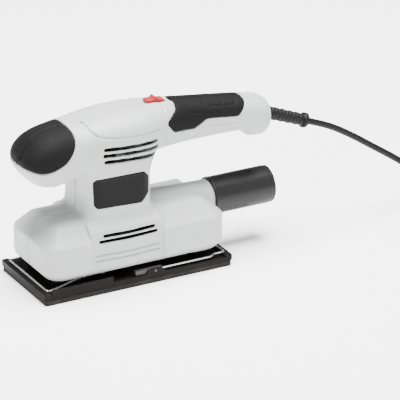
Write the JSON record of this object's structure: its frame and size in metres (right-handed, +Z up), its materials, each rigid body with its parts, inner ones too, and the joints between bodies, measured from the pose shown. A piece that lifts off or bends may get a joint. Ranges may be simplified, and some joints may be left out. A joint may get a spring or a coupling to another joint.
{
  "type": "orbital sheet sander",
  "caption": "Corded orbital finishing sander with a rectangular sole, wire paper clamps, palm knob, rubber handle, slide switch and dust tube.",
  "frame": {"origin": "centre of the sole's underside", "axes": "+X along the sole from the palm knob to the cord end, +Z up out of the sole, +Y to the tool's side that carries the housing screws"},
  "size_m": [0.5277, 0.1401, 0.1606],
  "materials": {
    "shell": "light grey moulded plastic with a fine satin texture",
    "soft_grip": "black soft-touch overmoulded rubber",
    "label": "blank black label plate, satin gloss",
    "switch_red": "red moulded plastic",
    "black_part": "black moulded plastic",
    "tube_rubber": "black dust tube, matt",
    "cord_rubber": "black cord sheath, satin",
    "bright_steel": "plated steel",
    "core_steel": "laminated electrical steel",
    "copper": "enamelled copper wire",
    "brass": "plain brass",
    "carbon": "graphite brush block",
    "zinc": "die-cast zinc",
    "foam": "black foam rubber sole",
    "pillar_rubber": "black rubber pillar"
  },
  "bodies": {
    "housing": {"bearing_lower": "bright_steel", "bearing_upper": "bright_steel", "brush_holder_1": "brass", "brush_holder_2": "brass", "carbon_brush_1": "carbon", "carbon_brush_2": "carbon", "cord": "cord_rubber", "cord_clamp": "black_part", "cord_clamp_screw_1": "bright_steel", "cord_clamp_screw_2": "bright_steel", "cord_coil": "cord_rubber", "cord_lead": "cord_rubber", "cord_sleeve": "cord_rubber", "cord_tail": "cord_rubber", "fan_baffle": "black_part", "field_coil_1": "copper", "field_coil_2": "copper", "handle_grip_left": "soft_grip", "handle_grip_right": "soft_grip", "housing_left": "shell", "housing_right": "shell", "housing_screw_1": "bright_steel", "housing_screw_2": "bright_steel", "housing_screw_3": "bright_steel", "housing_screw_4": "bright_steel", "housing_screw_5": "bright_steel", "housing_screw_6": "bright_steel", "housing_screw_7": "bright_steel", "label_plate_left": "label", "label_plate_right": "label", "palm_pad": "soft_grip", "plug_body": "cord_rubber", "plug_pin_1": "brass", "plug_pin_2": "brass", "stator_core": "core_steel", "switch_module": "black_part"},
    "rotor": {"rotor_shaft": "bright_steel", "armature_core": "core_steel", "armature_winding": "copper", "commutator": "copper", "fan": "black_part", "eccentric": "zinc", "platen_screw": "bright_steel"},
    "platen": {"platen_deck": "black_part", "sole_pad": "foam", "platen_bearing": "bright_steel", "pillar_1": "pillar_rubber", "pillar_2": "pillar_rubber", "pillar_3": "pillar_rubber", "pillar_4": "pillar_rubber", "pillar_screw_1": "bright_steel", "pillar_screw_2": "bright_steel", "pillar_screw_3": "bright_steel", "pillar_screw_4": "bright_steel"},
    "rear_clamp": {"rear_clamp_wire": "bright_steel", "rear_clamp_tab": "bright_steel"},
    "front_clamp": {"front_clamp_wire": "bright_steel", "front_clamp_tab": "bright_steel"},
    "switch": {"switch_button": "switch_red"},
    "dust_adapter": {"dust_tube": "tube_rubber"}
  },
  "joints": [
    {"name": "rotor_spin", "type": "hinge", "parent": "housing", "child": "rotor", "pos_m": [-0.009, 0, 0.09], "axis": [0, 0, 1], "continuous": true},
    {"name": "platen_orbit", "type": "hinge", "parent": "rotor", "child": "platen", "pos_m": [-0.008, 0, 0.02], "axis": [0, 0, 1], "continuous": true},
    {"name": "rear_clamp_lift", "type": "hinge", "parent": "platen", "child": "rear_clamp", "pos_m": [0.016, 0, 0.01165], "axis": [0, -1, 0], "range_deg": [0, 3.5]},
    {"name": "front_clamp_lift", "type": "hinge", "parent": "platen", "child": "front_clamp", "pos_m": [-0.016, 0, 0.01165], "axis": [0, 1, 0], "range_deg": [0, 3.5]},
    {"name": "switch_slide", "type": "slide", "parent": "housing", "child": "switch", "axis": [0.998, 0, -0.0628], "range_m": [0, 0.006]},
    {"name": "dust_tube_slide", "type": "slide", "parent": "housing", "child": "dust_adapter", "axis": [1, 0, 0], "range_m": [0, 0.02]}
  ],
  "couplings": [
    {"joint": "platen_orbit", "follows": "rotor_spin", "ratio": -1}
  ]
}
